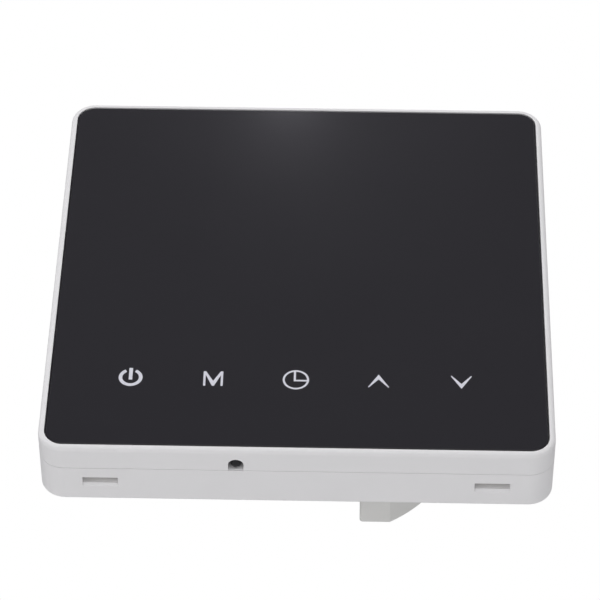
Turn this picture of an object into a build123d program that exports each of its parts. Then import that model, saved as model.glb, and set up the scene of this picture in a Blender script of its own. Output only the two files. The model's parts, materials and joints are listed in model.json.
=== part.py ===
from build123d import *
import os
from math import cos, radians, sin

# Wall thermostat for a flush wall box, in millimetres, built as it hangs on the wall.
# X runs to the right as seen from the room, Y runs into the wall and Z is up.
# The wall's surface is Y = 0, and the origin lies midway between the two wall screws.
# The front unit (touch panel, shells, display, control board) pulls off along -Y.
# The wall unit (steel frame, back plate, power box, terminals) stays on the wall.

# ---------------------------------------------------------------- overall sizes
case_width = 86.0
case_height = 86.0
case_depth = 12.3            # front face to the rear edge of the shells
wall_gap = 0.3               # shells stop this short of the wall
total_depth = 42.0           # front face to the back of the power box
case_corner_radius = 4.3
case_edge_radius = 0.8
case_wall = 1.6
seam_depth = 4.7             # front face to the seam between the two shells
seam_groove = 0.08
seam_groove_depth = 0.25

# ---------------------------------------------------------------- touch panel and keys
rim_width = 1.2              # case edge to panel edge
panel_gap = 0.18
panel_thickness = 1.8
panel_chamfer = 0.2
print_thickness = 0.1
key_pitch = 13.95
key_row_x = -0.4             # the printed row sits a little left of the middle
key_row_z = -26.5
key_names = ("power", "mode", "clock", "up", "down")
tape_thickness = 0.2
tape_inset = 0.3
tape_width = 4.0

# ---------------------------------------------------------------- front shell and its tray
tray_thickness = 1.2
locating_lip_wall = 0.8
locating_lip_height = 1.0
lip_clearance = 0.1
sensor_x = -10.0
sensor_hole_width = 2.6
sensor_hole_drop = 0.1       # tray's front to the crown of the sensor hole
sensor_front_room = 0.4      # hole's crown to the bead
sensor_back_room = 0.1       # bead to the seam
sensor_bead_inset = 1.1      # case's underside to the middle of the bead
sensor_lead_radius = 0.2
sensor_lead_spread = 0.5
sensor_lead_height = 1.3     # board's lower edge to the leads

# ---------------------------------------------------------------- display
display_width = 62.0
display_height = 36.0
display_z = 4.0
display_thickness = 2.2
display_clearance = 0.3
display_rim = 2.0

# ---------------------------------------------------------------- control board
board_thickness = 1.6
board_edge_clearance = 1.0   # board edge to the locating lip
solder_gap = 0.6             # board to the rear shell's wall
rear_wall_thickness = 1.2
service_gap = 0.2            # rear shell to back plate
spring_wire = 0.5
spring_radius = 2.2
spring_turns = 4
spring_hole_clearance = 0.7

# ---------------------------------------------------------------- case screws
case_screw_inset = 6.5       # screw axis to the case's edge
case_screw_lower_z = -31.0
case_screw_shank = 2.0
case_screw_head = 3.6
case_screw_head_height = 1.0
case_boss = 5.0
screw_clearance = 0.3
head_clearance = 0.4

# ---------------------------------------------------------------- release slots and hooks
latch_spacing = 65.4
slot_length = 5.95
slot_width = 1.7
slot_bevel = 0.4             # eased outer edge at the rear of each slot
slot_front = 7.0             # front face to the slot's front edge
tongue_width = 5.4
tongue_thickness = 1.4
tongue_reach = 4.4           # back plate's front face to the tongue's tip
latch_clearance = 0.4
hook_spacing = 40.0
hook_width = 8.0
hook_reach = 1.8

# ---------------------------------------------------------------- wall unit, thin parts
frame_thickness = 1.0
frame_margin = 4.0           # case edge to the steel frame's edge
frame_corner_radius = 3.0
frame_window_width = 28.0
frame_window_top = 16.0
frame_window_bottom = -21.0
wall_screw_spacing = 60.0
wall_slot_length = 8.0
wall_slot_width = 4.2
wall_head_length = 13.0      # room left in front of the frame for a wall screw's head
wall_head_width = 9.6
plate_thickness = 1.2
plate_clearance = 1.1        # rear shell's inner face to the back plate's edge
base_screw_shank = 2.2
base_screw_head = 4.0
base_screw_tip_y = 9.0       # how far the base screws reach into the power box
screw_tip_room = 1.0         # blind hole beyond a screw's tip

# ---------------------------------------------------------------- plug between the two boards
pin_pitch = 2.54
pin_columns = 5
pin_rows = 2
pin_size = 0.64
pin_bore = 0.9
plug_z = -17.0
plug_clearance = 0.5
socket_height = 4.3
header_base_height = 2.5

# ---------------------------------------------------------------- power box
box_half_width = 25.0
box_top = 24.0
box_bottom = -21.6
box_wall = 1.6
box_edge_radius = 0.5
corner_cut = (8.75, 8.9)       # width and height of the corners cut to enter a round wall box
corner_bulge_radius = 26.0   # each cut corner follows an arc of this radius
flank_x = 10.8               # left side of the full-depth flank beside the terminals
recess_top = -8.0            # upper side of the terminal recess
skirt_depth = 6.0            # depth of the skirt around the terminal block's foot
skirt_corner = 1.5
fit_gap = 0.25
box_seat_depth = 0.2         # shallow seat in the back of the steel frame, which locates the box
box_seat_clearance = 0.2
power_board_front = 2.9      # wall surface to the power board
power_board_thickness = 1.6
board_seat_gap = 0.3
post_radius = 2.5
post_bite = 0.5              # how far a post beside a wall grows into it
post_clearance = 0.3
board_screw_shank = 2.2
board_screw_head = 3.8
board_screw_head_height = 1.3
vent_count = 6
vent_pitch = 4.5
vent_width = 1.6
vent_length = 14.0
label_width = 30.0
label_height = 18.0
label_thickness = 0.1
label_recess = 0.15

# ---------------------------------------------------------------- parts on the boards
# A size is width, height and depth (X, Z, Y), and a place is X and Z.
shallow_mark = 0.1           # dimples, scores and traces on small parts
radio_size = (24.0, 14.0, 2.8)
radio_board_thickness = 0.8
radio_trace_count = 6
chip_size = 9.0
chip_thickness = 1.3
chip_lead_pitch = 1.0
chip_lead_count = 8
chip_x = 8.0
beeper_size = (8.5, 8.5, 2.0)
beeper_hole_radius = 0.7
chip_part_size = (2.0, 1.2, 0.6)
chip_part_pitch = 2.6
relay_size = (15.4, 19.0, 15.5)
relay_place = (8.9, 4.0)
film_capacitor_size = (12.6, 5.4, 11.0)
film_capacitor_place = (-10.1, 17.0)
can_capacitors = ((3.9, 14.0, 8.2, 18.3), (3.0, 11.0, 20.0, 6.2))  # radius, height, X, Z
can_groove = (1.2, 1.8, 0.25)    # its front and back from the can's foot, and its depth
varistor_radius = 4.2
varistor_thickness = 3.4
varistor_lead_radius = 0.35
fuse_size = (4.0, 8.2, 7.6)
fuse_z = 4.6
side_room = 0.6              # a tall part to the box's wall

# ---------------------------------------------------------------- transformer
transformer_place = (-10.6, 2.8)
bobbin_size = 13.4
bobbin_height = 1.5
winding_width = 8.0
winding_height = 7.8
winding_depth = 11.0
core_width = 13.0
core_height = 12.0
core_leg = 3.0
core_thickness = 6.0
core_rise = 2.5              # bobbin's top to the core

# ---------------------------------------------------------------- screw terminals
terminal_count = 6
terminal_pitch = 5.08
terminal_height = 12.0       # power board to the block's rear face
terminal_body_depth = 11.4   # top to bottom of the block
terminal_floor = 1.2
clamp_width = 3.5
clamp_height = 5.0
clamp_depth = 5.2
clamp_side_wall = 0.5
clamp_base_wall = 0.7
clamp_top_wall = 1.4
clamp_clearance = 0.2
clamp_travel = 2.0
terminal_screw_shank = 2.5
terminal_screw_head = 3.5
terminal_head_height = 1.5
terminal_web = 0.65          # wall between the clamp's chamber and the screw's head
running_clearance = 0.05
head_side_clearance = 0.3
screw_float = 0.05
retaining_mouth = 3.3
contact_thickness = 0.7
contact_width = 2.2
wire_opening = (3.0, 2.4)
wire_funnel = 0.4

# ---------------------------------------------------------------- stations along Y, front to back
face_y = -(case_depth + wall_gap)
panel_back_y = face_y + panel_thickness
tray_front_y = panel_back_y + tape_thickness
tray_back_y = tray_front_y + tray_thickness
seam_y = face_y + seam_depth
frame_front_y = -frame_thickness
plate_front_y = frame_front_y - plate_thickness
rear_wall_back_y = plate_front_y - service_gap
rear_wall_front_y = rear_wall_back_y - rear_wall_thickness
board_back_y = rear_wall_front_y - solder_gap
board_front_y = board_back_y - board_thickness
display_back_y = tray_front_y + display_thickness
sensor_hole_front_y = tray_front_y + sensor_hole_drop
shell_back_y = -wall_gap
box_front_y = -box_seat_depth
power_board_back = power_board_front + power_board_thickness
bobbin_top_y = power_board_back + bobbin_height
box_back_y = face_y + total_depth
box_floor_y = box_back_y - box_wall

# ---------------------------------------------------------------- sizes worked out from those above
panel_width = case_width - 2 * rim_width
panel_height = case_height - 2 * rim_width
panel_corner_radius = case_corner_radius - rim_width
inner_width = case_width - 2 * case_wall
inner_height = case_height - 2 * case_wall
inner_radius = case_corner_radius - case_wall
lip_width = inner_width - 2 * lip_clearance
lip_height = inner_height - 2 * lip_clearance
board_inset = lip_clearance + locating_lip_wall + board_edge_clearance
board_width = inner_width - 2 * board_inset
board_height = inner_height - 2 * board_inset
sensor_lead_z = -board_height / 2 + sensor_lead_height
plate_width = inner_width - 2 * plate_clearance
plate_height = inner_height - 2 * plate_clearance
frame_width = case_width - 2 * frame_margin
frame_height = case_height - 2 * frame_margin
plug_width = pin_columns * pin_pitch
plug_height = pin_rows * pin_pitch
tongue_low_z = -inner_height / 2 + latch_clearance
hook_high_z = inner_height / 2 - latch_clearance
key_places = [key_row_x + (i - (len(key_names) - 1) / 2) * key_pitch for i in range(len(key_names))]
case_screw_x = case_width / 2 - case_screw_inset
case_screw_top_z = case_height / 2 - case_screw_inset
case_screw_places = [(x, z) for x in (-case_screw_x, case_screw_x)
                     for z in (case_screw_lower_z, case_screw_top_z)]
wall_screw_places = [(-wall_screw_spacing / 2, 0), (wall_screw_spacing / 2, 0)]
latch_places = (-latch_spacing / 2, latch_spacing / 2)
hook_places = (-hook_spacing / 2, hook_spacing / 2)
pin_places = [((i - (pin_columns - 1) / 2) * pin_pitch, plug_z + (j - (pin_rows - 1) / 2) * pin_pitch)
              for i in range(pin_columns) for j in range(pin_rows)]

block_right = flank_x - fit_gap
block_width = terminal_count * terminal_pitch
block_left = block_right - block_width
block_top = recess_top - fit_gap
block_bottom = block_top - terminal_body_depth
block_back_y = power_board_back + terminal_height
terminal_z = (block_top + block_bottom) / 2
terminal_places = [block_left + (i + 0.5) * terminal_pitch for i in range(terminal_count)]
chamber_front_y = power_board_back + terminal_floor
clamp_front_y = chamber_front_y + clamp_clearance
chamber_back_y = clamp_front_y + clamp_height + clamp_travel + clamp_clearance
head_seat_y = chamber_back_y + terminal_web
head_front_y = head_seat_y + screw_float
head_back_y = head_front_y + terminal_head_height
contact_front_y = clamp_front_y + clamp_base_wall + clamp_travel + fit_gap / 2
contact_back_y = contact_front_y + contact_thickness

post_inset = box_wall + post_radius - post_bite
upper_post_x = box_half_width - corner_cut[0] * 0.62
upper_post_z = box_top - corner_cut[1] - 1.0
post_places = [
    (-upper_post_x, upper_post_z),
    (upper_post_x, upper_post_z),
    (box_half_width - post_inset, box_bottom + corner_cut[1] + 1.0),
    (-box_half_width + post_inset, recess_top + post_inset),
]
standoff_places = [(0.0, box_top - post_inset), (box_half_width - post_inset, -2.0)]


# ---------------------------------------------------------------- building helpers
def slab(outline, front_y, back_y):
    """A flat outline in X and Z made solid from front_y to back_y."""
    return extrude(Plane.XZ.offset(-back_y) * outline, amount=back_y - front_y, dir=(0, -1, 0))


def rod(radius, x, z, front_y, back_y):
    """A round bar along Y."""
    return slab(Pos(x, z) * Circle(radius), front_y, back_y)


def block(x_span, y_span, z_span):
    """A plain block between pairs of limits."""
    centre = [(low + high) / 2 for low, high in (x_span, y_span, z_span)]
    size = [high - low for low, high in (x_span, y_span, z_span)]
    return Pos(*centre) * Box(*size)


def rounded(width, height, radius, x=0, z=0):
    return Pos(x, z) * RectangleRounded(width, height, radius)


def window(width, height, x=0, z=0):
    return Pos(x, z) * Rectangle(width, height)


def group(solids):
    """Several separate solids kept in one node."""
    return Compound(children=list(solids))


# ---------------------------------------------------------------- printed key symbols
def ring(radius, width):
    return Circle(radius) - Circle(radius - width)


def power_symbol():
    radius, width, half_gap = 2.02, 0.62, radians(28)
    reach = 2 * radius
    wedge = Polygon((0, 0), (reach * sin(half_gap), reach * cos(half_gap)),
                    (-reach * sin(half_gap), reach * cos(half_gap)), align=None)
    bar = window(width, 2.7, 0, radius - 1.2)
    return ring(radius, width) - wedge + bar


def mode_symbol():
    half, height, width, arm_width, foot = 1.66, 3.35, 0.38, 0.42, 0.17
    left = window(width, height, -half + width / 2)
    right = window(width, height, half - width / 2)
    top = height / 2
    arms = Polygon((-foot, -top), (foot, -top), (half, top), (half - arm_width, top),
                   (0, -top + 3 * width), (-half + arm_width, top), (-half, top), align=None)
    return left + right + arms


def clock_symbol():
    radius, width = 2.23, 0.36
    reach = radius
    upright = window(width, reach + width / 2, 0, (reach - width / 2) / 2)
    level = window(reach + width / 2, width, (reach - width / 2) / 2, 0)
    return ring(radius, width) + Pos(-width / 2, -width / 2) * (upright + level)


def arrow_symbol(direction):
    """A swallow-tailed arrowhead, thick at its point and thin at its tips."""
    half, height, waist, tip = 1.78, 3.0, 1.87, 0.13
    low = -height / 2
    points = [(0, height / 2), (-half, low + tip), (-half + tip, low), (0, low + waist),
              (half - tip, low), (half, low + tip)]
    return Polygon(*[(direction * x, direction * z) for x, z in points], align=None)


def key_symbol_outlines():
    shapes = {
        "power": power_symbol(),
        "mode": mode_symbol(),
        "clock": clock_symbol(),
        "up": arrow_symbol(1),
        "down": arrow_symbol(-1),
    }
    return [Pos(x, key_row_z) * shapes[name] for x, name in zip(key_places, key_names)]


# ---------------------------------------------------------------- front unit
def key_symbols():
    return group(slab(outline, face_y, face_y + print_thickness) for outline in key_symbol_outlines())


def touch_panel():
    panel = slab(rounded(panel_width, panel_height, panel_corner_radius), face_y, panel_back_y)
    panel = chamfer(panel.faces().sort_by(Axis.Y)[0].edges(), panel_chamfer)
    for outline in key_symbol_outlines():
        panel -= slab(outline, face_y, face_y + print_thickness)
    return panel


def panel_tape():
    width = panel_width - 2 * tape_inset
    height = panel_height - 2 * tape_inset
    outline = rounded(width, height, panel_corner_radius - tape_inset)
    outline -= window(width - 2 * tape_width, height - 2 * tape_width)
    return slab(outline, panel_back_y, tray_front_y)


def sensor_channel(low_z, high_z):
    """Round-crowned opening for the sensor, closed behind by the rear shell."""
    radius = sensor_hole_width / 2
    crown_y = sensor_hole_front_y + radius
    crown = Pos(sensor_x, crown_y, low_z) * extrude(Circle(radius), amount=high_z - low_z)
    shaft = block((sensor_x - radius, sensor_x + radius), (crown_y, seam_y), (low_z, high_z))
    return crown + shaft


def front_shell():
    shell = slab(rounded(case_width, case_height, case_corner_radius), face_y, seam_y)
    shell = fillet(shell.faces().sort_by(Axis.Y)[0].edges(), case_edge_radius)
    pocket = rounded(panel_width + 2 * panel_gap, panel_height + 2 * panel_gap,
                     panel_corner_radius + panel_gap)
    shell -= slab(pocket, face_y - 1, tray_front_y)
    shell += slab(rounded(lip_width, lip_height, inner_radius), seam_y, seam_y + locating_lip_height)
    hollow = rounded(lip_width - 2 * locating_lip_wall, lip_height - 2 * locating_lip_wall,
                     inner_radius - locating_lip_wall)
    shell -= slab(hollow, tray_back_y, seam_y + locating_lip_height)
    for x, z in case_screw_places:
        shell += rod(case_boss / 2, x, z, case_screw_tip_y(), board_front_y)
        shell -= rod(case_screw_shank / 2, x, z, case_screw_tip_y(), board_front_y)
    display_hole = window(display_width + 2 * display_clearance, display_height + 2 * display_clearance,
                          0, display_z)
    shell -= slab(display_hole, tray_front_y, tray_back_y)
    for x in key_places:
        shell -= rod(spring_radius + spring_hole_clearance, x, key_row_z, tray_front_y, tray_back_y)
    shell -= sensor_channel(-case_height / 2 - 1, sensor_lead_z + sensor_lead_radius + fit_gap)
    return shell


def case_screw_tip_y():
    return tray_back_y - tray_thickness / 2


def release_slot(x):
    """The cut for one screwdriver slot in the lower wall, whose rear edge is eased on the outside."""
    outside, inside, past = -case_height / 2, -inner_height / 2 + 1, 1.0
    front = face_y + slot_front
    rear = front + slot_width
    profile = Polygon((front, outside - past), (rear + slot_bevel + past, outside - past),
                      (rear, outside + slot_bevel), (rear, inside), (front, inside), align=None)
    return extrude(Plane.YZ.offset(x - slot_length / 2) * profile, amount=slot_length, dir=(1, 0, 0))


def rear_shell():
    shell = slab(rounded(case_width, case_height, case_corner_radius), seam_y, shell_back_y)
    shell = fillet(shell.faces().sort_by(Axis.Y)[-1].edges(), case_wall / 4)
    groove = rounded(case_width + 1, case_height + 1, case_corner_radius)
    groove -= rounded(case_width - 2 * seam_groove_depth, case_height - 2 * seam_groove_depth,
                      case_corner_radius - seam_groove_depth)
    shell -= slab(groove, seam_y, seam_y + seam_groove)
    inside = rounded(inner_width, inner_height, inner_radius)
    shell -= slab(inside, seam_y, rear_wall_front_y)
    shell -= slab(inside, rear_wall_back_y, shell_back_y)

    # openings in the rear wall: plug, wall screws' heads, release tongues and top hooks
    openings = [window(plug_width + 2 * plug_clearance, plug_height + 2 * plug_clearance, 0, plug_z)]
    openings += [window(wall_head_length, wall_head_width, x, z) for x, z in wall_screw_places]
    reach = tongue_thickness + 2 * latch_clearance
    for x in latch_places:
        openings.append(window(tongue_width + 4 * latch_clearance, reach, x, (reach - inner_height) / 2))
    for x in hook_places:
        openings.append(window(hook_width + 4 * latch_clearance, reach, x, (inner_height - reach) / 2))
    for opening in openings:
        shell -= slab(opening, rear_wall_front_y, rear_wall_back_y)

    # screwdriver slots through the lower wall, in front of the release tongues
    for x in latch_places:
        shell -= release_slot(x)

    # seats for the case screws, whose heads sink into the rear wall
    for x, z in case_screw_places:
        shell += rod(case_boss / 2, x, z, board_back_y, rear_wall_front_y)
        shell -= rod((case_screw_shank + screw_clearance) / 2, x, z, board_back_y, rear_wall_back_y)
        shell -= rod((case_screw_head + head_clearance) / 2, x, z,
                     rear_wall_back_y - case_screw_head_height, rear_wall_back_y)
    return shell


def cross_drive(x, z, size, front_y, back_y):
    """The recess of a cross-head screw, from front_y to back_y."""
    arms = window(size, size / 4, x, z) + window(size / 4, size, x, z)
    return slab(arms, front_y, back_y)


def case_screws():
    screws = []
    seat_y = rear_wall_back_y - case_screw_head_height
    for x, z in case_screw_places:
        screw = rod(case_screw_head / 2, x, z, seat_y, rear_wall_back_y)
        screw += rod(case_screw_shank / 2, x, z, case_screw_tip_y(), seat_y)
        recess = case_screw_head_height * 0.6
        screw -= cross_drive(x, z, case_screw_head * 0.55, rear_wall_back_y - recess, rear_wall_back_y)
        screws.append(screw)
    return group(screws)


def display_glass():
    upper = rounded(display_width, display_height, 0.5, 0, display_z)
    lower = rounded(display_width, display_height - display_rim, 0.5, 0, display_z + display_rim / 2)
    middle_y = (tray_front_y + display_back_y) / 2
    return slab(upper, middle_y, display_back_y) + slab(lower, tray_front_y, middle_y)


def backlight():
    body = slab(rounded(display_width, display_height, 1.0, 0, display_z), display_back_y, board_front_y)
    wing = display_rim
    for side in (-1, 1):
        x = side * (display_width / 2 - wing)
        notch = window(wing, wing * 2, x, display_z + side * display_height / 4)
        body -= slab(notch, board_front_y - tray_thickness, board_front_y)
    return body


def board_screw_hole(x, z):
    return rod((case_screw_shank + screw_clearance) / 2, x, z, board_front_y, board_back_y)


def control_board():
    board = slab(rounded(board_width, board_height, 1.0), board_front_y, board_back_y)
    for x, z in case_screw_places:
        board -= board_screw_hole(x, z)
    notch_top = tongue_low_z + tongue_thickness + latch_clearance
    for x in latch_places:
        half = tongue_width / 2 + 2 * latch_clearance
        board -= block((x - half, x + half), (board_front_y, board_back_y),
                       (-board_height / 2 - 1, notch_top))
    return board


def touch_springs():
    """Coils that carry the touch keys' field from the board to the panel's back."""
    springs = []
    length = board_front_y - panel_back_y - spring_wire
    for x in key_places:
        path = Helix(length / spring_turns, length, spring_radius)
        profile = Plane(origin=path @ 0, z_dir=path % 0) * Circle(spring_wire / 2)
        coil = sweep(profile, path=path)
        springs.append(Pos(x, board_front_y - spring_wire / 2, key_row_z) * Rot(90, 0, 0) * coil)
    return group(springs)


def middle_above_display():
    """Middle height of the board's strip above the display."""
    return (display_z + display_height / 2 + board_height / 2) / 2


def radio_module():
    """A small board with a metal can over two thirds of it and bare aerial traces beside the can."""
    width, height, depth = radio_size
    middle_z = middle_above_display()
    left = -case_screw_x + case_boss / 2 + 1.0
    pcb_front = board_front_y - radio_board_thickness
    module = slab(window(width, height, left + width / 2, middle_z), pcb_front, board_front_y)
    can = rounded(width * 0.66, height - 2, 0.6, left + width * 0.62, middle_z)
    module += slab(can, board_front_y - depth, pcb_front)
    trace_pitch = height / (radio_trace_count + 2)
    for i in range(radio_trace_count):
        z = middle_z + (i - (radio_trace_count - 1) / 2) * trace_pitch
        trace = window(width * 0.2, trace_pitch / 3, left + width * 0.14, z)
        module += slab(trace, pcb_front - shallow_mark, pcb_front)
    return module


def controller_chip():
    """A flat chip with leads on all four sides and a dimple at its first lead."""
    z = middle_above_display()
    front = board_front_y - chip_thickness
    chip = slab(rounded(chip_size, chip_size, 0.4, chip_x, z), front, board_front_y)
    corner = chip_size * 0.36
    chip -= rod(0.5, chip_x - corner, z + corner, front, front + shallow_mark)
    lead_width, reach = chip_lead_pitch * 0.4, chip_size + 1.6
    for i in range(chip_lead_count):
        shift = (i - (chip_lead_count - 1) / 2) * chip_lead_pitch
        across = window(reach, lead_width, chip_x, z + shift)
        upright = window(lead_width, reach, chip_x + shift, z)
        chip += slab(across, board_front_y - lead_width, board_front_y)
        chip += slab(upright, board_front_y - lead_width, board_front_y)
    return chip


def beeper():
    width, height, depth = beeper_size
    x, z = case_screw_x - case_boss / 2 - 2 - width / 2, middle_above_display()
    front = board_front_y - depth
    body = slab(rounded(width, height, 0.6, x, z), front, board_front_y)
    return body - rod(beeper_hole_radius, x + width / 4, z + height / 4, front, front + depth * 0.4)


def small_components():
    """Chip resistors and capacitors in threes between the keys."""
    width, height, depth = chip_part_size
    columns = [(left + right) / 2 for left, right in zip(key_places, key_places[1:])]
    places = [(x, key_row_z + row * chip_part_pitch) for x in columns for row in (-1, 0, 1)]
    return group(slab(window(width, height, x, z), board_front_y - depth, board_front_y) for x, z in places)


def temperature_sensor():
    """A glass-bead thermistor in the channel, on two leads bent to the board."""
    bead_z = -case_height / 2 + sensor_bead_inset
    bead_front_y = sensor_hole_front_y + sensor_front_room
    bead_radius = (seam_y - sensor_back_room - bead_front_y) / 2
    bead_y = bead_front_y + bead_radius
    sensor = Pos(sensor_x, bead_y, bead_z) * Sphere(bead_radius)
    for side in (-1, 1):
        x = sensor_x + side * sensor_lead_spread
        middle_z, height = (bead_z + sensor_lead_z) / 2, sensor_lead_z - bead_z
        sensor += Pos(x, bead_y, middle_z) * Cylinder(sensor_lead_radius, height)
        sensor += rod(sensor_lead_radius, x, sensor_lead_z, bead_y, board_front_y)
        sensor += Pos(x, bead_y, sensor_lead_z) * Sphere(sensor_lead_radius)
    return sensor


def board_socket():
    socket = slab(window(plug_width, plug_height, 0, plug_z), board_back_y, board_back_y + socket_height)
    for x, z in pin_places:
        socket -= slab(window(pin_bore, pin_bore, x, z), board_back_y + 0.3, board_back_y + socket_height)
    return socket


# ---------------------------------------------------------------- wall unit, plates and fasteners
def back_plate():
    plate = slab(rounded(plate_width, plate_height, 2.0), plate_front_y, frame_front_y)
    plug_hole = window(plug_width + 2 * plug_clearance, plug_height + 2 * plug_clearance, 0, plug_z)
    plate -= slab(plug_hole, plate_front_y, frame_front_y)
    for x, z in wall_screw_places:
        plate -= slab(window(wall_head_length, wall_head_width, x, z), plate_front_y, frame_front_y)
    for x, z in post_places:
        plate -= countersunk(base_screw_shank + screw_clearance, base_screw_head + 0.1, x, z)

    # release tongues: sprung fingers of the plate itself, cut free along both sides
    tongue_tip_y = plate_front_y - tongue_reach
    for x in latch_places:
        left, right = x - tongue_width / 2, x + tongue_width / 2
        finger = block((left, right), (tongue_tip_y, frame_front_y),
                       (tongue_low_z, tongue_low_z + tongue_thickness))
        tip = finger.edges().filter_by(Axis.X).group_by(Axis.Y)[0].sort_by(Axis.Z)[0]
        plate += chamfer(tip, tongue_thickness * 0.55)
        for edge in (left - 1.0, right):
            relief = block((edge, edge + 1.0), (plate_front_y, frame_front_y),
                           (-plate_height / 2 - 1, -plate_height / 2 + 7.0))
            plate -= relief

    # top hooks guide the front unit on
    for x in hook_places:
        hook = block((x - hook_width / 2, x + hook_width / 2), (plate_front_y - hook_reach, frame_front_y),
                     (hook_high_z - tongue_thickness, hook_high_z))
        plate += hook
    return plate


def countersunk(hole, head, x, z):
    """A screw hole with a 90 degree countersink, through the back plate."""
    depth = (head - hole) / 2
    cone = Plane.XZ.offset(-(plate_front_y + depth)) * Pos(x, z) * Circle(hole / 2)
    mouth = Plane.XZ.offset(-plate_front_y) * Pos(x, z) * Circle(head / 2)
    return rod(hole / 2, x, z, plate_front_y, frame_front_y) + loft([cone, mouth])


def mounting_frame():
    frame = slab(rounded(frame_width, frame_height, frame_corner_radius), frame_front_y, 0)
    opening_height = frame_window_top - frame_window_bottom
    opening = rounded(frame_window_width, opening_height, 2.0,
                      0, (frame_window_top + frame_window_bottom) / 2)
    frame -= slab(opening, frame_front_y, 0)
    for x, z in wall_screw_places:
        slot = Pos(x, z) * SlotOverall(wall_slot_length, wall_slot_width)
        frame -= slab(slot, frame_front_y, 0)
    for x, z in post_places:
        frame -= rod((base_screw_shank + screw_clearance) / 2, x, z, frame_front_y, 0)
    seat = offset(box_outline() + skirt_outline(), amount=box_seat_clearance, kind=Kind.INTERSECTION)
    return frame - slab(seat, box_front_y, 0)


def base_screws():
    screws = []
    depth = (base_screw_head - base_screw_shank) / 2
    for x, z in post_places:
        shank = rod(base_screw_shank / 2, x, z, plate_front_y + depth, base_screw_tip_y)
        cone = Plane.XZ.offset(-(plate_front_y + depth)) * Pos(x, z) * Circle(base_screw_shank / 2)
        rim = Plane.XZ.offset(-plate_front_y) * Pos(x, z) * Circle(base_screw_head / 2)
        screw = shank + loft([cone, rim])
        screw -= cross_drive(x, z, base_screw_head * 0.5, plate_front_y, plate_front_y + depth * 0.7)
        screws.append(screw)
    return group(screws)


# ---------------------------------------------------------------- power box
def corner_arc(start, end):
    """A cut corner, bulging outwards as the outline runs anticlockwise."""
    return RadiusArc(start, end, -corner_bulge_radius)


def box_outline():
    """The full-depth box: corners cut to enter a round wall box, recess at the lower left."""
    half, top, low = box_half_width, box_top, box_bottom
    cut_x, cut_z = corner_cut
    lower_right = ((half - cut_x, low), (half, low + cut_z))
    upper_right = ((half, top - cut_z), (half - cut_x, top))
    upper_left = ((-half + cut_x, top), (-half, top - cut_z))
    sides = [
        Line((flank_x, recess_top), (flank_x, low)),
        Line((flank_x, low), lower_right[0]),
        corner_arc(*lower_right),
        Line(lower_right[1], upper_right[0]),
        corner_arc(*upper_right),
        Line(upper_right[1], upper_left[0]),
        corner_arc(*upper_left),
        Line(upper_left[1], (-half, recess_top)),
        Line((-half, recess_top), (flank_x, recess_top)),
    ]
    return make_face(sides)


def skirt_span(clearance):
    """Limits in X and Z around the terminal block's foot."""
    return (block_left - clearance, flank_x), (block_bottom - clearance, recess_top)


def skirt_outline():
    """Outside of the skirt around the terminal block's foot, with its outer corner cut."""
    (left, right), (low, high) = skirt_span(fit_gap + box_wall)
    skirt = window(right - left, high - low, (left + right) / 2, (low + high) / 2)
    return chamfer(skirt.vertices().sort_by(SortBy.DISTANCE)[-1], skirt_corner)


def board_space():
    """The outline that is open at the power board's level."""
    inner = offset(box_outline(), amount=-box_wall, kind=Kind.INTERSECTION)
    (left, right), (low, high) = skirt_span(fit_gap)
    high += box_wall
    return inner + window(right - left, high - low, (left + right) / 2, (low + high) / 2)


def power_box():
    outline = box_outline()
    box = slab(fillet(outline.vertices(), box_edge_radius), box_front_y, box_back_y)
    box = fillet(box.faces().sort_by(Axis.Y)[-1].edges(), box_edge_radius)
    box += slab(skirt_outline(), box_front_y, skirt_depth)
    box -= slab(offset(outline, amount=-box_wall, kind=Kind.INTERSECTION), box_front_y, box_floor_y)
    box -= slab(board_space(), box_front_y, power_board_back + board_seat_gap)
    (left, right), (low, high) = skirt_span(fit_gap)
    box -= block((left, right), (box_front_y, skirt_depth), (low, high))
    for x, z in post_places:
        box += rod(post_radius, x, z, box_front_y, box_floor_y)
        box -= rod(base_screw_shank / 2, x, z, box_front_y, base_screw_tip_y + screw_tip_room)
    for x, z in standoff_places:
        box += rod(post_radius, x, z, power_board_back, box_floor_y)
        box -= rod(board_screw_shank / 2, x, z, power_board_back, power_board_back + 7)
    vent_middle_y = (power_board_back + box_floor_y) / 2
    for i in range(vent_count):
        x = (i - (vent_count - 1) / 2) * vent_pitch
        if abs(x) > post_radius + vent_width:
            box -= block((x - vent_width / 2, x + vent_width / 2),
                         (vent_middle_y - vent_length / 2, vent_middle_y + vent_length / 2),
                         (box_top - box_wall - 1, box_top + 1))
    box -= slab(label_outline(fit_gap), box_back_y - label_recess, box_back_y)
    return box


def label_outline(clearance=0.0):
    low, high = recess_top, box_top
    return rounded(label_width + 2 * clearance, label_height + 2 * clearance, 1.0 + clearance,
                   0, (low + high) / 2)


def rating_label():
    """A blank label, stuck in a shallow recess at the back."""
    front = box_back_y - label_recess
    return slab(label_outline(), front, front + label_thickness)


def power_board():
    board = slab(offset(board_space(), amount=-fit_gap, kind=Kind.INTERSECTION),
                 power_board_front, power_board_back)
    notch = post_radius + post_clearance
    for x, z in post_places:
        board -= rod(notch, x, z, power_board_front, power_board_back)
        side = sorted((x, box_half_width if x > 0 else -box_half_width))
        board -= block(side, (power_board_front, power_board_back), (z - notch, z + notch))
    for x, z in standoff_places:
        board -= rod((board_screw_shank + screw_clearance) / 2, x, z, power_board_front, power_board_back)
    for x, z in pin_places:
        board -= rod(0.5, x, z, power_board_front, power_board_back)
    for x in terminal_places:
        board -= rod(0.6, x, contact_leg_z(), power_board_front, power_board_back)
    return board


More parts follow.
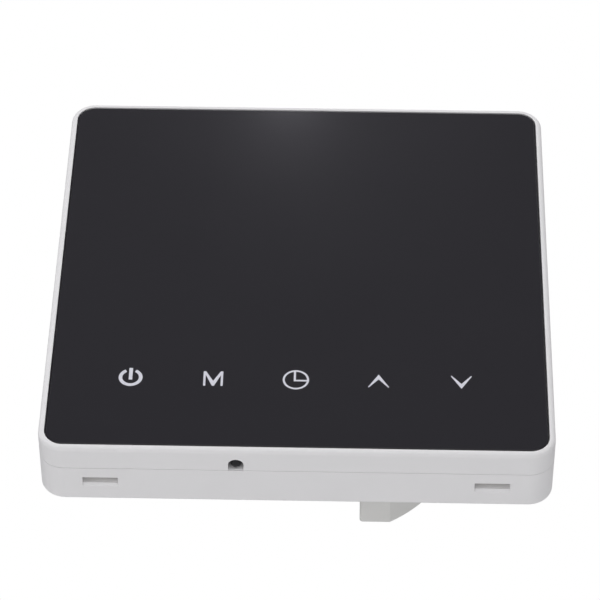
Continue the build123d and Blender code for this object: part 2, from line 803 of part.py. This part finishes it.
def board_screws():
    screws = []
    for x, z in standoff_places:
        head_front = power_board_front - board_screw_head_height
        screw = rod(board_screw_head / 2, x, z, head_front, power_board_front)
        screw += rod(board_screw_shank / 2, x, z, power_board_front, power_board_back + 6)
        screw -= cross_drive(x, z, board_screw_head * 0.55,
                             head_front, head_front + board_screw_head_height * 0.6)
        screws.append(screw)
    return group(screws)


def header_base():
    base = slab(window(plug_width, plug_height, 0, plug_z),
                power_board_front - header_base_height, power_board_front)
    for x, z in pin_places:
        base -= slab(window(pin_size, pin_size, x, z),
                     power_board_front - header_base_height, power_board_front)
    return base


def header_pins():
    tip_y = board_back_y + 0.8
    return group(slab(window(pin_size, pin_size, x, z), tip_y, power_board_back - 0.1)
                 for x, z in pin_places)


def boxed_part(size, place, edge_radius):
    """A moulded part that stands on the power board, with its rear edges rounded."""
    width, height, depth = size
    outline = rounded(width, height, edge_radius + 0.2, *place)
    body = slab(outline, power_board_back, power_board_back + depth)
    return fillet(body.faces().sort_by(Axis.Y)[-1].edges(), edge_radius)


def relay():
    return boxed_part(relay_size, relay_place, 0.6)


def transformer_bobbin():
    x, z = transformer_place
    return slab(rounded(bobbin_size, bobbin_size, 0.6, x, z), power_board_back, bobbin_top_y)


def transformer_winding():
    x, z = transformer_place
    core_front = bobbin_top_y + core_rise
    half_leg, half_height = core_leg / 2, winding_height / 2
    winding = slab(window(winding_width, winding_height, x, z), bobbin_top_y, bobbin_top_y + winding_depth)
    winding = fillet(winding.edges().filter_by(Axis.Z), 1.5)
    return winding - block((x - half_leg, x + half_leg), (core_front, core_front + core_thickness),
                           (z - half_height, z + half_height))


def transformer_core():
    x, z = transformer_place
    front = bobbin_top_y + core_rise
    back = front + core_thickness
    core = slab(window(core_width, core_height, x, z), front, back)
    gap = (winding_width - core_leg) / 2
    for side in (-1, 1):
        core -= slab(window(gap, winding_height, x + side * (core_leg + gap) / 2, z), front, back)
    return core


def film_capacitor():
    return boxed_part(film_capacitor_size, film_capacitor_place, 0.5)


def can_capacitor(radius, height, x, z):
    """A can with a rolled groove near its foot and a scored vent on its end."""
    foot = power_board_back
    can = rod(radius, x, z, foot, foot + height)
    front, back, groove_depth = can_groove
    groove = rod(radius + 1, x, z, foot + front, foot + back)
    groove -= rod(radius - groove_depth, x, z, foot + front, foot + back)
    score = cross_drive(x, z, radius, foot + height - shallow_mark, foot + height)
    return can - groove - score


def electrolytic_capacitors():
    return group(can_capacitor(*can) for can in can_capacitors)


def varistor():
    """A coated disc that stands on two leads, on edge beside the flank's wall."""
    radius, thickness = varistor_radius, varistor_thickness
    x = flank_x + box_wall + side_room + thickness / 2
    z = box_bottom + box_wall + 3 * side_room + radius
    centre_y = power_board_back + 2 * side_room + radius
    disc = Pos(x, centre_y, z) * Rot(0, 90, 0) * Cylinder(radius, thickness)
    disc = fillet(disc.edges(), thickness * 0.3)
    for side in (-1, 1):
        lead_x, lead_z = x + side * side_room, z + side * radius * 0.6
        disc += rod(varistor_lead_radius, lead_x, lead_z, power_board_back, centre_y)
    return disc


def fuse():
    x = -box_half_width + box_wall + side_room + fuse_size[0] / 2
    return boxed_part(fuse_size, (x, fuse_z), 0.4)


# ---------------------------------------------------------------- screw terminals
def contact_leg_z():
    return terminal_z + clamp_depth / 2 + clamp_clearance + contact_thickness


def terminal_block():
    body = block((block_left, block_right), (power_board_back, block_back_y), (block_bottom, block_top))
    body = chamfer(body.faces().sort_by(Axis.Y)[-1].edges().filter_by(Axis.X), 0.8)
    half_chamber = clamp_width / 2 + clamp_clearance
    half_depth = clamp_depth / 2 + clamp_clearance
    wire_y = clamp_front_y + clamp_base_wall - 0.05
    for x in terminal_places:
        body -= block((x - half_chamber, x + half_chamber), (chamber_front_y, chamber_back_y),
                      (terminal_z - half_depth, terminal_z + half_depth))
        body -= rod(terminal_screw_shank / 2 + running_clearance, x, terminal_z,
                    chamber_back_y, head_seat_y)
        body -= rod(terminal_screw_head / 2 + head_side_clearance, x, terminal_z,
                    head_seat_y, head_back_y + 3 * screw_float)
        body -= rod(retaining_mouth / 2, x, terminal_z, head_back_y, block_back_y)
        width, height = wire_opening
        body -= block((x - width / 2, x + width / 2), (wire_y, wire_y + height),
                      (block_bottom, terminal_z - half_depth))
        body -= block((x - width / 2 - wire_funnel, x + width / 2 + wire_funnel),
                      (wire_y - wire_funnel, wire_y + height + wire_funnel),
                      (block_bottom, block_bottom + wire_funnel))
        leg = contact_leg_z()
        body -= block((x - contact_width / 2, x + contact_width / 2), (contact_front_y, contact_back_y),
                      (terminal_z + half_depth, leg + contact_thickness / 2))
        body -= block((x - contact_width / 2, x + contact_width / 2), (power_board_back, contact_front_y),
                      (leg - contact_thickness / 2, leg + contact_thickness / 2))
    return body


def terminal_contacts():
    """Fixed bars that the wires are pressed against, each with a pin to the board."""
    contacts = []
    leg = contact_leg_z()
    for x in terminal_places:
        half = contact_width / 2
        bar = block((x - half, x + half), (contact_front_y, contact_back_y),
                    (terminal_z - clamp_depth / 2, leg + contact_thickness / 2))
        upright = block((x - half, x + half), (power_board_back, contact_front_y),
                        (leg - contact_thickness / 2, leg + contact_thickness / 2))
        pin = block((x - 0.4, x + 0.4), (power_board_front - 1.0, power_board_back),
                    (leg - contact_thickness / 2, leg + contact_thickness / 2))
        contacts.append(bar + upright + pin)
    return group(contacts)


def terminal_screw(x):
    """A slotted captive screw along Y; its driver comes from behind the unit."""
    screw = rod(terminal_screw_head / 2, x, terminal_z, head_front_y, head_back_y)
    screw = chamfer(screw.faces().sort_by(Axis.Y)[-1].edges(), 0.2)
    screw += rod(terminal_screw_shank / 2, x, terminal_z, contact_back_y + fit_gap, head_front_y)
    return screw - slab(window(terminal_screw_head, 0.6, x, terminal_z), head_back_y - 0.8, head_back_y)


def terminal_clamp(x):
    """A box-shaped cage that the screw draws up to press the wire on its contact bar."""
    half = clamp_width / 2
    low, high = terminal_z - clamp_depth / 2, terminal_z + clamp_depth / 2
    back = clamp_front_y + clamp_height
    cage = block((x - half, x + half), (clamp_front_y, back), (low, high))
    cage -= block((x - half + clamp_side_wall, x + half - clamp_side_wall),
                  (clamp_front_y + clamp_base_wall, back - clamp_top_wall), (low, high))
    return cage - rod(terminal_screw_shank / 2 + running_clearance, x, terminal_z,
                      back - clamp_top_wall, back)


# ---------------------------------------------------------------- every node of the thermostat
nodes = {
    "touch_panel": touch_panel(),
    "key_symbols": key_symbols(),
    "panel_tape": panel_tape(),
    "front_shell": front_shell(),
    "rear_shell": rear_shell(),
    "case_screws": case_screws(),
    "display_glass": display_glass(),
    "backlight": backlight(),
    "control_board": control_board(),
    "touch_springs": touch_springs(),
    "radio_module": radio_module(),
    "controller_chip": controller_chip(),
    "beeper": beeper(),
    "small_components": small_components(),
    "temperature_sensor": temperature_sensor(),
    "board_socket": board_socket(),
    "back_plate": back_plate(),
    "mounting_frame": mounting_frame(),
    "base_screws": base_screws(),
    "power_box": power_box(),
    "rating_label": rating_label(),
    "power_board": power_board(),
    "board_screws": board_screws(),
    "header_base": header_base(),
    "header_pins": header_pins(),
    "relay": relay(),
    "transformer_bobbin": transformer_bobbin(),
    "transformer_winding": transformer_winding(),
    "transformer_core": transformer_core(),
    "film_capacitor": film_capacitor(),
    "electrolytic_capacitors": electrolytic_capacitors(),
    "varistor": varistor(),
    "fuse": fuse(),
    "terminal_block": terminal_block(),
    "terminal_contacts": terminal_contacts(),
}
for number, x in enumerate(terminal_places, start=1):
    nodes[f"terminal_screw_{number}"] = terminal_screw(x)
    nodes[f"terminal_clamp_{number}"] = terminal_clamp(x)

os.makedirs("parts", exist_ok=True)
for name, shape in nodes.items():
    export_step(shape, f"parts/{name}.step")
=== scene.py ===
import json
import math
import bpy
from mathutils import Matrix, Vector

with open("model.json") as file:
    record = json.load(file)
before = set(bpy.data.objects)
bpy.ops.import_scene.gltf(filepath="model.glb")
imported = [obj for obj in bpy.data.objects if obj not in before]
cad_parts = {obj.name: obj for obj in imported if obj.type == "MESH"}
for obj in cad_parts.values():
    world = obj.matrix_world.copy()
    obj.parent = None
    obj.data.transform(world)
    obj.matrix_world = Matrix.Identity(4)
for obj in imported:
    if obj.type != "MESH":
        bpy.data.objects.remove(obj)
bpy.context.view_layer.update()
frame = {"nodes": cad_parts, "record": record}

MM = 0.001


# ---------------------------------------------------------------- building materials
class Surface:
    """One procedural material: a Principled shader with helpers that add its texture nodes."""

    def __init__(self, name, color, roughness, metallic=0.0, **sockets):
        self.material = bpy.data.materials.new(name)
        self.material.use_nodes = True
        self.tree = self.material.node_tree
        self.shader = self.tree.nodes["Principled BSDF"]
        self.color = color
        self.shader.inputs["Base Color"].default_value = (*color, 1)
        self.shader.inputs["Roughness"].default_value = roughness
        self.shader.inputs["Metallic"].default_value = metallic
        for socket, value in sockets.items():
            self.shader.inputs[socket.replace("_", " ")].default_value = value
        self.coordinates = self.add("ShaderNodeTexCoord").outputs["Object"]
        self.normal = None

    def add(self, kind, **values):
        node = self.tree.nodes.new(kind)
        for key, value in values.items():
            setattr(node, key, value)
        return node

    def link(self, source, target):
        self.tree.links.new(source, target)

    def stretched(self, scale):
        """Object coordinates scaled by a different amount along each axis."""
        mapping = self.add("ShaderNodeMapping")
        mapping.inputs["Scale"].default_value = scale
        self.link(self.coordinates, mapping.inputs["Vector"])
        return mapping.outputs["Vector"]

    def noise(self, size, detail=3.0, vector=None, roughness=0.5):
        """Noise whose blotches are about size metres across."""
        node = self.add("ShaderNodeTexNoise")
        node.inputs["Scale"].default_value = 1.0 / size
        node.inputs["Detail"].default_value = detail
        node.inputs["Roughness"].default_value = roughness
        self.link(vector or self.coordinates, node.inputs["Vector"])
        return node.outputs["Fac"]

    def spread(self, value, low, high, start=0.35, end=0.65):
        """A value remapped from start..end to low..high."""
        node = self.add("ShaderNodeMapRange")
        for socket, number in zip(("From Min", "From Max", "To Min", "To Max"), (start, end, low, high)):
            node.inputs[socket].default_value = number
        self.link(value, node.inputs["Value"])
        return node.outputs["Result"]

    def tint(self, factor, color):
        """Mixes another colour over the base colour, where factor says."""
        mix = self.add("ShaderNodeMix", data_type="RGBA")
        base = self.shader.inputs["Base Color"]
        if base.is_linked:
            self.link(base.links[0].from_socket, mix.inputs["A"])
        else:
            mix.inputs["A"].default_value = base.default_value
        mix.inputs["B"].default_value = (*color, 1)
        self.link(factor, mix.inputs["Factor"])
        self.link(mix.outputs["Result"], base)
        return self

    def mottle(self, size, strength, detail=3.0):
        """Slight unevenness of the base colour."""
        darker = [channel * (1 - strength) for channel in self.color]
        return self.tint(self.spread(self.noise(size, detail), 0.0, 1.0), darker)

    def vary_roughness(self, size, low, high, vector=None):
        self.link(self.spread(self.noise(size, 4.0, vector), low, high), self.shader.inputs["Roughness"])
        return self

    def bump(self, height, distance, strength=1.0):
        """Adds a bump on top of those already there; distance is its real height in metres."""
        node = self.add("ShaderNodeBump")
        node.inputs["Distance"].default_value = distance
        node.inputs["Strength"].default_value = strength
        self.link(height, node.inputs["Height"])
        if self.normal:
            self.link(self.normal, node.inputs["Normal"])
        self.normal = node.outputs["Normal"]
        self.link(self.normal, self.shader.inputs["Normal"])
        return self

    def grain(self, size, depth, detail=2.0):
        return self.bump(self.noise(size, detail), depth)

    def brushed(self, across, along, depth, axis):
        """Fine lines that run along one axis."""
        scale = [1.0 / across] * 3
        scale[axis] = 1.0 / along
        lines = self.noise(1.0, 2.0, self.stretched(scale))
        return self.bump(lines, depth)


def moulded(name, color, roughness, grain=0.25 * MM, depth=0.004 * MM, mottling=0.03, **sockets):
    """Injection-moulded plastic with a fine spark-eroded texture."""
    surface = Surface(name, color, roughness, **sockets)
    surface.mottle(9 * MM, mottling)
    surface.vary_roughness(3 * MM, roughness * 0.88, roughness * 1.12)
    return surface.grain(grain, depth)


def black_panel():
    """Black acrylic: a gloss face with faint smudges and a few specks of dust."""
    surface = Surface("black_panel", (0.0106, 0.0096, 0.0140), 0.13, IOR=1.47)
    surface.vary_roughness(16 * MM, 0.12, 0.15)
    cells = surface.add("ShaderNodeTexVoronoi")
    cells.inputs["Scale"].default_value = 1.0 / (5 * MM)
    surface.link(surface.coordinates, cells.inputs["Vector"])
    speck = surface.spread(cells.outputs["Distance"], 1.0, 0.0, 0.012, 0.03)
    lone = surface.spread(cells.outputs["Color"], 0.0, 0.10, 0.72, 0.78)
    dust = surface.add("ShaderNodeMath", operation="MULTIPLY")
    surface.link(speck, dust.inputs[0])
    surface.link(lone, dust.inputs[1])
    surface.tint(dust.outputs["Value"], (0.45, 0.45, 0.47))
    return surface.grain(0.5 * MM, 0.0004 * MM)


def white_print():
    surface = Surface("white_print", (0.68, 0.68, 0.75), 0.14, IOR=1.49)
    return surface.mottle(0.4 * MM, 0.05)


def plated(name, color, roughness, axis=0):
    """Zinc-plated or tinned sheet with faint rolling lines and cloudy patches."""
    surface = Surface(name, color, roughness, metallic=1.0)
    surface.mottle(5 * MM, 0.12, 5.0)
    surface.vary_roughness(2.5 * MM, roughness * 0.75, roughness * 1.3)
    return surface.brushed(0.12 * MM, 8 * MM, 0.0015 * MM, axis)


def laminate():
    """Solder mask over glass weave, with lighter copper areas beneath it."""
    surface = Surface("green_laminate", (0.010, 0.085, 0.035), 0.30)
    copper = surface.noise(2.2 * MM, 0.0, surface.stretched((1.0, 1.0, 2.5)))
    surface.tint(surface.spread(copper, 0.0, 0.65, 0.52, 0.53), (0.022, 0.17, 0.07))
    return surface.grain(0.35 * MM, 0.006 * MM)


def wound_tape():
    """Polyester tape over a winding: bands with soft ridges."""
    surface = Surface("winding_tape", (0.70, 0.47, 0.05), 0.25)
    waves = surface.add("ShaderNodeTexWave", wave_type="BANDS", bands_direction="Z")
    waves.inputs["Scale"].default_value = 1.0 / (7.5 * MM)
    waves.inputs["Distortion"].default_value = 1.5
    surface.link(surface.coordinates, waves.inputs["Vector"])
    surface.mottle(1.5 * MM, 0.15)
    return surface.bump(waves.outputs["Fac"], 0.03 * MM)


def milky():
    surface = Surface("milky_diffuser", (0.82, 0.85, 0.88), 0.5)
    return surface.mottle(6 * MM, 0.04).grain(0.3 * MM, 0.003 * MM)


def dark_glass():
    surface = Surface("display_glass", (0.02, 0.025, 0.03), 0.06, IOR=1.52)
    return surface.vary_roughness(10 * MM, 0.05, 0.09).mottle(8 * MM, 0.1)


def label_paper():
    surface = Surface("silver_label", (0.66, 0.67, 0.68), 0.34, metallic=0.35)
    return surface.mottle(3 * MM, 0.05, 6.0).grain(0.2 * MM, 0.002 * MM)


def ferrite():
    surface = Surface("dark_ferrite", (0.045, 0.045, 0.05), 0.55, metallic=0.3)
    return surface.mottle(0.8 * MM, 0.35, 5.0).grain(0.3 * MM, 0.02 * MM)


MATERIALS = {
    "black_panel": black_panel,
    "white_print": white_print,
    "adhesive_tape": lambda: moulded("adhesive_tape", (0.03, 0.03, 0.03), 0.7),
    "white_shell": lambda: moulded("white_shell", (0.80, 0.792, 0.803), 0.36, mottling=0.012),
    "zinc_steel": lambda: plated("zinc_steel", (0.62, 0.63, 0.65), 0.34),
    "display_glass": dark_glass,
    "milky_diffuser": milky,
    "green_laminate": laminate,
    "spring_steel": lambda: plated("spring_steel", (0.70, 0.67, 0.60), 0.25, 1),
    "tinned_can": lambda: plated("tinned_can", (0.68, 0.69, 0.70), 0.28),
    "black_epoxy": lambda: moulded("black_epoxy", (0.022, 0.022, 0.024), 0.55, 0.15 * MM, 0.008 * MM, 0.25),
    "ceramic_chip": lambda: moulded("ceramic_chip", (0.36, 0.27, 0.18), 0.45, mottling=0.2),
    "black_glass_bead": lambda: moulded("black_glass_bead", (0.008, 0.008, 0.010), 0.10,
                                        depth=0.001 * MM, IOR=1.40),
    "black_nylon": lambda: moulded("black_nylon", (0.022, 0.022, 0.025), 0.48, mottling=0.2),
    "cream_plastic": lambda: moulded("cream_plastic", (0.76, 0.73, 0.65), 0.42),
    "grey_white_box": lambda: moulded("grey_white_box", (0.715, 0.71, 0.695), 0.46, 0.35 * MM, 0.010 * MM),
    "silver_label": label_paper,
    "gold_pin": lambda: plated("gold_pin", (0.85, 0.60, 0.24), 0.22, 1),
    "relay_case": lambda: moulded("relay_case", (0.030, 0.075, 0.30), 0.34),
    "winding_tape": wound_tape,
    "dark_ferrite": ferrite,
    "yellow_capacitor": lambda: moulded("yellow_capacitor", (0.74, 0.50, 0.04), 0.36),
    "capacitor_sleeve": lambda: moulded("capacitor_sleeve", (0.018, 0.022, 0.05), 0.24),
    "varistor_coat": lambda: moulded("varistor_coat", (0.03, 0.09, 0.30), 0.4, 0.6 * MM, 0.03 * MM),
    "green_terminal": lambda: moulded("green_terminal", (0.020, 0.24, 0.085), 0.38),
    "brass_contact": lambda: plated("brass_contact", (0.80, 0.64, 0.34), 0.3),
    "clamp_steel": lambda: plated("clamp_steel", (0.66, 0.67, 0.62), 0.32),
}


def dress_nodes():
    """Gives each CAD node the material of its slot."""
    made = {}
    for part in frame["record"]["subparts"]:
        slot = part["material_slot"]
        if slot not in made:
            made[slot] = MATERIALS[slot]().material
        node = frame["nodes"][part["node"]]
        node.data.materials.clear()
        node.data.materials.append(made[slot])


dress_nodes()


# ---------------------------------------------------------------- camera
# The lens looks up at the front unit from below and in front, and rolls a little.
CAMERA_PLACE = Vector((0.00882, -0.39685, -0.39208))
CAMERA_AZIMUTH = math.radians(-1.334)
CAMERA_ELEVATION = math.radians(45.02)
CAMERA_ROLL = math.radians(1.80)
CAMERA_LENS = 188.7
SENSOR_WIDTH = 36.0


def make_camera():
    data = bpy.data.cameras.new("camera")
    data.lens = CAMERA_LENS
    data.sensor_width = SENSOR_WIDTH
    data.clip_start, data.clip_end = 0.01, 20.0
    camera = bpy.data.objects.new("camera", data)
    bpy.context.scene.collection.objects.link(camera)
    flat = math.cos(CAMERA_ELEVATION)
    forward = Vector((math.sin(CAMERA_AZIMUTH) * flat, math.cos(CAMERA_AZIMUTH) * flat,
                      math.sin(CAMERA_ELEVATION)))
    level = forward.cross(Vector((0, 0, 1))).normalized()
    above = level.cross(forward)
    right = level * math.cos(CAMERA_ROLL) + above * math.sin(CAMERA_ROLL)
    up = right.cross(forward)
    turn = Matrix((right, up, -forward)).transposed()
    camera.matrix_world = Matrix.Translation(CAMERA_PLACE) @ turn.to_4x4()
    bpy.context.scene.camera = camera


make_camera()


# ---------------------------------------------------------------- studio
FLOOR_Z = -0.62
FLOOR_HALF = 4.0
FLOOR_GLOW = 0.40            # lifts the floor to a pale tone where it is seen, without lighting the object
AMBIENT_STRENGTH = 0.37
AMBIENT_COLOR = (0.985, 0.985, 1.0, 1)
WHITE = (1.0, 1.0, 1.0)
GLOW_COLOR = (0.94, 0.92, 1.0)

# name, place in metres, diameter in metres, watts, seen in reflections, colour
LIGHTS = [
    ("key_softbox", (-0.15, -1.0, 0.9), 0.6, 9.0, False, WHITE),
    ("back_softbox", (0.45, 1.2, 0.55), 0.6, 4.5, False, WHITE),
    ("front_fill", (-0.10, -0.66, -0.54), 0.5, 0.7, False, WHITE),
    ("left_softbox", (-0.85, -0.35, -0.40), 0.4, 2.0, False, WHITE),
    ("right_softbox", (0.85, -0.25, -0.40), 0.4, 1.1, False, WHITE),
    # the two cards that the panel mirrors as a soft glow along its upper edge
    ("wide_glow_card", (-0.010, -0.78, 0.97), 0.20, 0.011, True, GLOW_COLOR),
    ("small_glow_card", (-0.028, -0.78, 0.942), 0.04, 0.0145, True, GLOW_COLOR),
]


def make_floor():
    mesh = bpy.data.meshes.new("floor")
    corners = [(-1, -1), (1, -1), (1, 1), (-1, 1)]
    mesh.from_pydata([(x * FLOOR_HALF, y * FLOOR_HALF, FLOOR_Z) for x, y in corners], [], [(0, 1, 2, 3)])
    floor = bpy.data.objects.new("floor", mesh)
    bpy.context.scene.collection.objects.link(floor)
    surface = Surface("floor", (0.90, 0.90, 0.90), 0.7, Emission_Color=(1, 1, 1, 1))
    surface.mottle(0.4, 0.02)
    seen = surface.add("ShaderNodeLightPath").outputs["Is Camera Ray"]
    glow = surface.spread(seen, 0.0, FLOOR_GLOW, start=0.0, end=1.0)
    surface.link(glow, surface.shader.inputs["Emission Strength"])
    floor.data.materials.append(surface.material)


def make_light(name, place, diameter, watts, reflected, color):
    """A round soft light aimed at the object."""
    data = bpy.data.lights.new(name, "AREA")
    data.shape = "DISK"
    data.size = diameter
    data.energy = watts
    data.color = color
    light = bpy.data.objects.new(name, data)
    bpy.context.scene.collection.objects.link(light)
    light.location = place
    light.rotation_mode = "QUATERNION"
    light.rotation_quaternion = (-Vector(place)).to_track_quat("-Z", "Y")
    light.visible_glossy = reflected


def make_world():
    """White to the camera, a softer grey as light and in reflections."""
    world = bpy.data.worlds.new("studio")
    bpy.context.scene.world = world
    world.use_nodes = True
    tree = world.node_tree
    backdrop = tree.nodes["Background"]
    backdrop.inputs["Color"].default_value = (1, 1, 1, 1)
    backdrop.inputs["Strength"].default_value = 1.0
    ambient = tree.nodes.new("ShaderNodeBackground")
    ambient.inputs["Color"].default_value = AMBIENT_COLOR
    ambient.inputs["Strength"].default_value = AMBIENT_STRENGTH
    path = tree.nodes.new("ShaderNodeLightPath")
    mix = tree.nodes.new("ShaderNodeMixShader")
    tree.links.new(path.outputs["Is Camera Ray"], mix.inputs["Fac"])
    tree.links.new(ambient.outputs["Background"], mix.inputs[1])
    tree.links.new(backdrop.outputs["Background"], mix.inputs[2])
    tree.links.new(mix.outputs["Shader"], tree.nodes["World Output"].inputs["Surface"])


make_world()
make_floor()
for light in LIGHTS:
    make_light(*light)

bpy.context.scene.view_settings.view_transform = "Standard"
